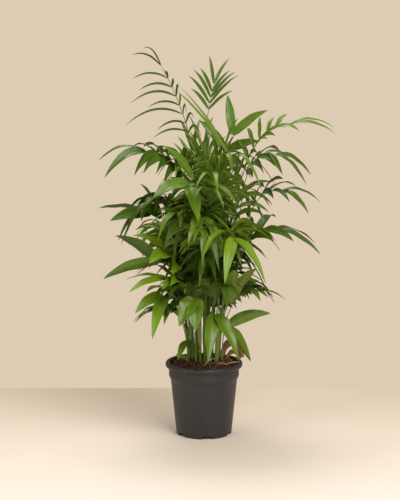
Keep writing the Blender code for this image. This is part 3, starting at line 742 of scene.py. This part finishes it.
leaves = {
    "jitter": 5.0, "twistJitter": 14.0, "lengthJitter": 0.08, "leastAngle": 4.0,
    "lowest": 0.82, "bulge": 0.22, "bulgeShift": 0.15,
    "tries": (
        (0, 0, 1.0), (0, 9, 1.0), (0, -9, 1.0), (8, 0, 1.0), (-8, 0, 1.0), (0, 18, 1.0),
        (0, -18, 1.0), (12, 12, 0.9), (-12, 12, 0.9), (12, -12, 0.9), (-12, -12, 0.9),
        (0, 28, 0.9), (0, -28, 0.9), (16, 0, 0.8), (-16, 0, 0.8), (0, 0, 0.7), (0, 38, 0.8),
        (0, -38, 0.8), (22, 14, 0.7), (-22, 14, 0.7), (22, -14, 0.7), (-22, -14, 0.7),
        (0, 20, 0.55), (0, -20, 0.55), (0, 0, 0.45),
    ),
    "unmatched": (0, 0, 0.80),
    "rows": 20, "columns": 9, "perPiece": 290, "start": 0.015, "end": 0.995, "stalk": 0.0006,
    "thickness": 0.00045, "edge": 0.85, "fold": 0.30, "pleat": 0.00035, "pleats": 3.0,
    "ripple": 0.10, "ripples": 15.0, "phase": 3.0, "curl": 28.0, "arch": 0.07,
    # by a listed frond's number: how much wider than in its solid the leaflets are
    "widen": {1: 0.46, 2: 0.66, 3: 1.35, 4: 1.0, 5: 0.95, 6: 1.1, 7: 1.25, 8: 1.4, 9: 1.3, 10: 1.5,
              11: 1.5, 12: 1.5, 13: 1.45, 14: 1.5, 15: 1.35, 16: 1.6, 17: 1.4, 18: 1.35, 19: 1.3,
              20: 1.5, 21: 1.5},
    "widenRest": 1.00, "slimHigh": 0.72,  # the same for the others, and for high fillers
    "highTip": 0.64,
    "droopJitter": 0.45, "listedJitter": 0.20,  # for the others, and for the listed fronds
    # by a listed frond's number: its tone, how much shorter its leaflets may come out by chance,
    # and how far they turn to face the front
    "tone": {1: 0.36, 2: 0.36, 3: 0.55, 4: 0.50, 5: 0.50, 6: 0.42, 10: 0.50, 15: 0.34, 16: 0.36},
    "uneven": {1: 0.50, 2: 0.30, 5: 0.25},
    "turn": {16: 45, 15: 18, 14: -20},
    # the tone of the others: its value at a height, its rise from there, and what varies it
    "toneBase": 0.38, "toneFrom": 0.30, "toneRise": 0.25, "toneFrond": 0.26, "toneLeaf": 0.12,
    "toneSteps": (0.20, 0.44, 0.70, 0.92), "toneTints": (3, 0, 1, 2, 4),
    "light": (9, 11, 12, 13, 14, 17, 19, 20, 21),  # listed fronds whose tone is raised
    "toneLight": 0.28,
    # name, colour of the upper face, of the lower face, of the veins
    "tints": (
        ("deep", (0.040, 0.086, 0.003), (0.062, 0.112, 0.005), (0.070, 0.130, 0.008)),
        ("mid", (0.072, 0.140, 0.004), (0.090, 0.150, 0.006), (0.110, 0.185, 0.010)),
        ("fresh", (0.112, 0.205, 0.005), (0.125, 0.198, 0.008), (0.165, 0.255, 0.012)),
        ("shade", (0.024, 0.052, 0.002), (0.041, 0.078, 0.004), (0.042, 0.084, 0.005)),
        ("lime", (0.120, 0.215, 0.006), (0.130, 0.205, 0.010), (0.170, 0.262, 0.014)),
    ),
}


def leafShape(frond, number, pair, hand, change):  # angle to the rib, lift, twist and length
    turn, tilt, shrink = change
    last = pair == frond.pairs
    share = pair / max(frond.pairs, 1)
    angle = frond.fork if last else frond.spread + (frond.close - frond.spread) * share
    angle += leaves["jitter"] * noise(number, pair, hand) + turn
    lift = frond.lift + leaves["jitter"] * noise(number, pair, hand + 7) + tilt
    twist = leaves["twistJitter"] * noise(number, pair, hand + 14)
    bulge = leaves["lowest"] + leaves["bulge"] * math.sin(math.pi * (share + leaves["bulgeShift"]))
    length = frond.leaf * (frond.end if last else bulge) * shrink
    length *= 1.0 + leaves["lengthJitter"] * noise(number, pair, hand + 21)
    return max(angle, leaves["leastAngle"]), lift, twist, length


def leafCurve(place, hand, shape, droop, share, curl=0.0, arch=0.0):
    # Point + length (ahead t - up droop t t + up arch 4 t (1 - t)); the width direction and upper
    # normal twist with t
    point, along, side, normal = place
    angle, lift, twist, length = shape
    share = np.asarray(share, dtype=float)[..., None]
    level = side * hand * math.cos(math.radians(lift)) + normal * math.sin(math.radians(lift))
    ahead = along * math.cos(math.radians(angle)) + level * math.sin(math.radians(angle))
    rise = arch * 4.0 * share * (1.0 - share) - droop * share * share
    middle = point + length * (ahead * share + up * rise)
    heading = unit(ahead + up * (arch * (4.0 - 8.0 * share) - 2.0 * droop * share))
    front = hand * unit(np.cross(normal, heading))
    upper = hand * np.cross(heading, front)
    front, upper = turned(front, upper, (twist + curl * share * share) * hand)
    return middle, front, upper


def bladeTube(place, hand, shape, droop, width, curl, phase):
    # A blade: half width w = width/2 sin(pi t^0.68)^0.8 along the midrib. Across it, s from -1
    # to 1, the face rises by fold |s| w, with pleats and a ripple at the edge, and it thins
    # towards the edge. The ring runs over the upper face and back under the lower.
    t = np.linspace(leaves["start"], leaves["end"], leaves["rows"])
    middle, front, upper = leafCurve(place, hand, shape, droop, t, curl, leaves["arch"])
    over, ring, face = flatRing(leaves["columns"])
    t = t[:, None]
    reach = np.abs(ring)
    half = 0.5 * width * np.sin(math.pi * t ** 0.68) ** 0.8 + leaves["stalk"] * (1.0 - t)
    rise = (leaves["fold"] * (reach - 0.5) * half
            + leaves["pleat"] * np.cos(leaves["pleats"] * math.pi * ring) * np.sin(math.pi * t)
            + leaves["ripple"] * half * reach**2 * np.sin(leaves["ripples"] * t + phase)
            + 0.5 * leaves["thickness"] * (1.0 - leaves["edge"] * reach**2) * face)
    across = np.concatenate(((over + 1.0) / 2.0, 1.0 + (1.0 - over[-2::-1]) / 2.0))
    marks = np.stack(np.meshgrid(across, t[:, 0]), -1)
    return sweep(middle, front, upper, half * ring, rise), marks


def solidPoints(name):  # the corners of a solid
    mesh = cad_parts[name].data
    points = np.empty(3 * len(mesh.vertices), dtype=np.float32)
    mesh.vertices.foreach_get("co", points)
    return points.reshape(-1, 3)


def meets(solid, place):  # whether a solid has a corner at a place
    return np.linalg.norm(solid - place, axis=1).min() < ribs["close"]


def findRib(frond, solid):  # the rib's curve that ends where the solid's rib does
    half = ribs["half"] * ribs["taper"]
    for drop, turn in itertools.product(ribs["drops"], ribs["turns"]):
        controls, out = ribCurve(frond, turn, drop)
        point, _, side, normal = ribFrame(controls, out, frond.roll, 1.0)
        corner = point + side * half + normal * half * ribs["depth"]
        if meets(solid, corner):
            return controls, out
    print("a rib has no match in its solid")
    return ribCurve(frond, 0, 0.0)


def findLeaf(frond, number, pair, hand, place, solid):  # the leaflet that ends where the solid's does
    for change in leaves["tries"] if solid is not None else ():
        shape = leafShape(frond, number, pair, hand, change)
        if meets(solid, leafCurve(place, hand, shape, frond.droop, 1.0)[0]):
            return shape
    return leafShape(frond, number, pair, hand, leaves["unmatched"])


def ribTube(frond, controls, out):
    # A rib: a tube with a shallow channel on its upper side, thicker towards its foot
    share = np.linspace(0.0, 1.0, ribs["rings"])
    roll = frond.roll * np.minimum(1.0, share / frond.petiole)
    point, _, side, normal = ribFrame(controls, out, roll, share)
    half = ribs["half"] * (1.0 - (1.0 - ribs["taper"]) * share)
    half = half + (ribs["foot"] - ribs["half"]) * bump(share, ribs["footShare"])
    half[-1] *= ribs["tipGirth"]
    angles = roundAngles(ribs["sides"])
    girth = half[:, None] * (1.0 - ribs["channel"] * bump(angles - 0.5 * math.pi, ribs["channelWidth"]))
    point = point - out * ribs["sunk"] * (1.0 - ramp(0.0, ribs["sunkShare"], share))[:, None]
    grid = sweep(point, side, normal, girth * np.cos(angles), girth * np.sin(angles) * ribs["depth"])
    return grid, evenMarks(ribs["rings"], ribs["sides"])


sheaths = {
    "rings": 14, "sides": 16, "below": 0.052, "length": 0.066, "gap": 0.0004, "girth": 0.0016,
    "mouth": 0.30, "mouthShare": 0.86, "toward": 0.45, "towardShare": 0.4, "lip": 0.010,
    "lipShare": 0.5, "green": (0.075, 0.140, 0.008), "pale": (0.140, 0.200, 0.025),
    "dry": (0.230, 0.150, 0.070),
}


def sheathTube(frond, controls, out):
    # The leaf's sheath: a sleeve on the cane below the rib, fullest at its mouth, on the rib's side
    cane = caneList[frond.cane]
    share = np.linspace(0.0, 1.0, sheaths["rings"])
    heights = controls[0][2] - sheaths["below"] + sheaths["length"] * share
    middle = canePoint(cane, np.minimum(heights, cane.top))
    middle[:, 2] = heights
    girth = caneRadius(cane, np.minimum(heights, cane.top)) + sheaths["gap"]
    girth = girth + sheaths["girth"] * np.sin(math.pi * share) ** 0.7
    girth = girth * (1.0 - sheaths["mouth"] * ramp(sheaths["mouthShare"], 1.0, share))
    ring = turnedRound(1.0, 0.0, roundAngles(sheaths["sides"]))
    toward = np.maximum(0.0, ring @ out)
    fuller = sheaths["toward"] * ramp(sheaths["towardShare"], 1.0, share)[:, None]
    grid = middle[:, None] + (girth[:, None] * (1.0 + toward * fuller))[..., None] * ring
    grid[..., 2] += sheaths["lip"] * toward * ramp(sheaths["lipShare"], 1.0, share)[:, None]
    return grid, evenMarks(sheaths["rings"], sheaths["sides"])


def leafPaint(name, over, under, vein):
    paint = Paint(name + "Leaf", 0.36, 0.32)
    across = paint.mark(0)
    lower = across > 1.0
    cloud = paint.clouds(20.0, 3.0)
    mottle = paint.clouds(260.0, 3.0)
    veins = paint.wave(across, 11.0) * 0.5 + 0.5
    midrib = 1.0 - paint.between(paint.nearWhole(across + 0.5), 0.010, 0.045)
    skin = paint.blend(cloud, rgba(over, 0.75), rgba(over, 1.3))
    skin = paint.blend((veins ** 4.0) * 0.30 + mottle * 0.15, skin, rgba(vein))
    skin = paint.blend(lower, skin, paint.blend(cloud, rgba(under, 0.85), rgba(under, 1.15)))
    skin = paint.blend(midrib * 0.65, skin, rgba(vein, 1.25))
    paint.set("Base Color", skin)
    paint.set("Roughness", lower * 0.25 + mottle * 0.14 + 0.27)
    paint.relief(veins * 0.5 + midrib * 1.2, 0.0003, 0.45)
    return paint.material


def ribPaint():
    paint = Paint("ribSkin", 0.40)
    cloud = paint.clouds(30.0, 3.0)
    fine = paint.clouds(500.0, 3.0, (1.0, 1.0, 0.1))
    paint.set("Base Color", paint.blend(cloud, rgba(ribs["shade"]), rgba(ribs["colour"], 1.25)))
    paint.relief(fine, 0.0002, 0.3)
    return paint.material


def sheathPaint():
    paint = Paint("sheathSkin", 0.55)
    cloud = paint.clouds(40.0, 4.0, (1.0, 1.0, 0.4))
    fibre = paint.clouds(500.0, 3.0, (1.0, 1.0, 0.05))
    skin = paint.blend(fibre, rgba(sheaths["green"]), rgba(sheaths["pale"]))
    dry = paint.between(cloud, 0.56, 0.66)
    paint.set("Base Color", paint.blend(dry * 0.8, skin, rgba(sheaths["dry"])))
    paint.relief(fibre, 0.0004, 0.5)
    return paint.material


def tintOf(frond, number, pair, hand):  # low fronds are dark and high ones light, but for chance
    tone = leaves["toneBase"] + leaves["toneRise"] * (frond.tip[2] - leaves["toneFrom"])
    tone += leaves["toneFrond"] * noise(number, 31) + leaves["toneLeaf"] * noise(number, pair, hand)
    tone += leaves["toneLight"] * (number in leaves["light"])
    tone = leaves["tone"].get(number, tone)
    return leaves["toneTints"][sum(tone > step for step in leaves["toneSteps"])]


# Young shoots: thin stems that rise from the soil inside the clump and leaf out low down

shoots = {
    "count": 20, "step": 137.5, "first": 30.0, "inner": 0.010, "outer": 0.052, "low": 0.36,
    "high": 0.56, "reachJitter": 0.022, "topJitter": 0.03,
    "sunk": 0.006, "nearReach": 0.036, "farReach": 0.084, "bend": 0.55, "bow": 0.8, "lift": 0.01,
    "droop": 0.50, "droopJitter": 0.2,
}


def shoot(index):  # a shoot by rule: the golden angle apart, outer ones lower and leaning more
    share = (index + 0.5) / shoots["count"]
    angle = math.radians(shoots["first"] + shoots["step"] * index)
    out = np.array([math.cos(angle), math.sin(angle), 0.0])
    start = out * (shoots["inner"] + (shoots["outer"] - shoots["inner"]) * share ** 0.5)
    start[2] = soil["top"] - shoots["sunk"]
    top = shoots["high"] - (shoots["high"] - shoots["low"]) * share
    top += shoots["topJitter"] * noise(index, 41)
    reach = shoots["nearReach"] + (shoots["farReach"] - shoots["nearReach"]) * share
    reach += shoots["reachJitter"] * noise(index, 43)
    tip = start + out * reach
    tip[2] = top
    droop = shoots["droop"] + shoots["droopJitter"] * noise(index, 47)
    frond = Frond(0, 0.0, tuple(tip), pairs=4, leaf=0.105, width=0.021, spread=55, close=34,
                  droop=droop, petiole=0.62)
    last = unit(out + up * 0.1)
    bend = start + up * (top - start[2]) * shoots["bend"]
    bow = tip - last * reach * shoots["bow"] + up * shoots["lift"]
    return frond, (start, bend, bow, tip), out


def positions(frond, dense):  # pairs with their shares, and one pair between each two where dense
    rows = list(enumerate(leafShares(frond)))
    if dense:
        rows += [(pair + 0.5, 0.5 * (low + high))
                 for (pair, low), (_, high) in zip(rows[:-1], rows[1:])]
    return rows


def leafletTubes(number, frond, controls, out, solid):  # a frond's leaflets, each with its tint
    length = np.linalg.norm(controls[3] - controls[0])
    listed = number <= len(frondList)
    high = not listed and frond.tip[2] > leaves["highTip"]
    jitter = leaves["listedJitter" if listed else "droopJitter"]
    width = frond.width * leaves["widen"].get(number, leaves["slimHigh" if high else "widenRest"])
    for pair, share in positions(frond, not listed and not high):
        place = ribFrame(controls, out, frond.roll, share - 0.5 * ribs["seat"] / length)
        for hand in (1, -1):
            angle, lift, twist, size = findLeaf(frond, number, pair, hand, place, solid)
            twist += hand * leaves["turn"].get(number, 0)
            if pair < frond.pairs:
                size *= 1.0 - leaves["uneven"].get(number, 0.0) * abs(noise(number, pair, hand + 49))
            curl = leaves["curl"] * noise(number, pair, hand + 28)
            phase = leaves["phase"] * noise(number, pair, hand + 35)
            droop = frond.droop * (1.0 + jitter * noise(number, pair, hand + 42))
            tube = bladeTube(place, hand, (angle, lift, twist, size), droop, width, curl, phase)
            yield tintOf(frond, number, pair, hand), tube


def makeFronds():
    fronds = list(frondList) + [filler(index) for index in range(fillers["count"])]
    grown, sheathTubes = [], []
    for number, frond in enumerate(fronds, 1):
        solid = solidPoints(f"frond_{number:02d}")
        controls, out = findRib(frond, solid)
        sheathTubes.append(sheathTube(frond, controls, out))
        grown.append((number, frond, controls, out, solid))
    for index in range(shoots["count"]):
        grown.append((len(fronds) + index + 1, *shoot(index), None))
    ribPiece = joinTubes("ribs", [ribTube(*row[1:4]) for row in grown], ribPaint())
    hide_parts(*[f"frond_{number + 1:02d}" for number in range(len(fronds))])
    joinTubes("sheaths", sheathTubes, sheathPaint())
    blades = [[] for _ in leaves["tints"]]
    for row in grown:
        for tint, tube in leafletTubes(*row):
            blades[tint].append(tube)
    for tubes, (name, over, under, vein) in zip(blades, leaves["tints"]):
        paint = leafPaint(name, over, under, vein)
        for first in range(0, len(tubes), leaves["perPiece"]):
            part = tubes[first:first + leaves["perPiece"]]
            joinTubes(f"{name}Leaflets{first // leaves['perPiece'] + 1}", part, paint)


# Scraps: dried sheaths, straws, a fallen leaflet and a cut stub

scraps = {
    "dryPaint": (0.240, 0.130, 0.055),
    "strawPaint": (0.560, 0.420, 0.230),
    # start, middle, end, width, the way it faces
    "husks": (
        ((0.046, 0.030, 0.200), (0.072, 0.058, 0.285), (0.107, 0.022, 0.206), 0.020, (0, -1, 0.3)),
        ((0.060, 0.026, 0.200), (0.082, 0.044, 0.240), (0.100, 0.018, 0.203), 0.013, (0, -1, 0.6)),
        ((0.058, -0.048, 0.203), (0.078, -0.044, 0.213), (0.096, -0.026, 0.204), 0.010, (0, 0, 1)),
        ((-0.070, 0.018, 0.203), (-0.052, -0.006, 0.211), (-0.036, -0.030, 0.205), 0.007, (0, 0, 1)),
    ),
    "straws": (
        ((0.000, -0.066, 0.203), (0.012, -0.058, 0.222), (0.030, -0.050, 0.219), 0.0032, (0, 0, 1)),
        ((0.034, -0.058, 0.205), (0.048, -0.052, 0.212), (0.062, -0.058, 0.204), 0.0026, (0, 0, 1)),
    ),
    "leaflets": (
        ((-0.074, 0.022, 0.216), (-0.060, 0.010, 0.216), (-0.043, 0.000, 0.207), 0.013, (0, -0.5, 1)),
    ),
    "rings": 18, "columns": 7, "curl": 0.45, "wall": 0.0003, "ragged": 0.12,
    "stub": (-0.044, -0.030, 0.0),
    # radius and height of the stub's rings, and how much its cut slants
    "stubRings": ((0.0040, 0.190), (0.0043, 0.201), (0.0040, 0.207), (0.0041, 0.2145), (0.0036, 0.2150)),
    "stubSlant": 0.25, "stubSides": 16,
}


def stripTube(start, middle, end, width, outward):
    # A curled strip along a quadratic curve, its section an arc with a thin wall; its half width
    # is width/2 (0.25 + 0.75 sin(pi (0.06 + 0.9 t))^0.6), made uneven by a sine
    t = np.linspace(0.0, 1.0, scraps["rings"])[:, None]
    a, b, c = (np.array(point) for point in (start, middle, end))
    path = a * (1.0 - t) ** 2 + 2.0 * b * t * (1.0 - t) + c * t * t
    ahead = unit((b - a) * (1.0 - t) + (c - b) * t)
    right = unit(np.cross(ahead, np.array(outward, dtype=float)))
    _, ring, face = flatRing(scraps["columns"])
    half = 0.5 * width * (0.25 + 0.75 * np.sin(math.pi * (0.06 + 0.9 * t)) ** 0.6)
    half = half * (1.0 + scraps["ragged"] * np.sin(23.0 * t))
    rise = -scraps["curl"] * half * ring**2 + scraps["wall"] * face * (1.0 - 0.8 * ring**2)
    return sweep(path, right, np.cross(right, ahead), half * ring, rise), evenMarks(len(t), len(ring))


def makeScraps():
    grain = (160.0, 4.0, (1.0, 1.0, 0.3))
    paints = {
        "husks": grainPaint("dryHusk", 0.8, scraps["dryPaint"], 0.55, 1.4, grain),
        "straws": grainPaint("straw", 0.8, scraps["strawPaint"], 0.55, 1.4, grain),
        "leaflets": leafPaint("fallen", *leaves["tints"][2][1:]),
    }
    for name, paint in paints.items():
        joinTubes(name, [stripTube(*row) for row in scraps[name]], paint)
    angles = roundAngles(scraps["stubSides"])
    ring = turnedRound(1.0, scraps["stubSlant"] * np.cos(angles), angles)
    rows = np.array(scraps["stubRings"])
    grid = scraps["stub"] + rows[:, 1, None, None] * up + rows[:, 0, None, None] * ring
    marks = evenMarks(len(rows), len(angles))
    joinTubes("cutStub", [(grid, marks)], canePaint())


makeCamera()
makeFloor()
makeLight()
print("camera, floor and light made")
makePot()
print("pot made")
makeSoil()
makeChips()
print("soil made")
makeCanes()
print("canes made")
makeFronds()
print("fronds made")
makeScraps()
print("scraps made")
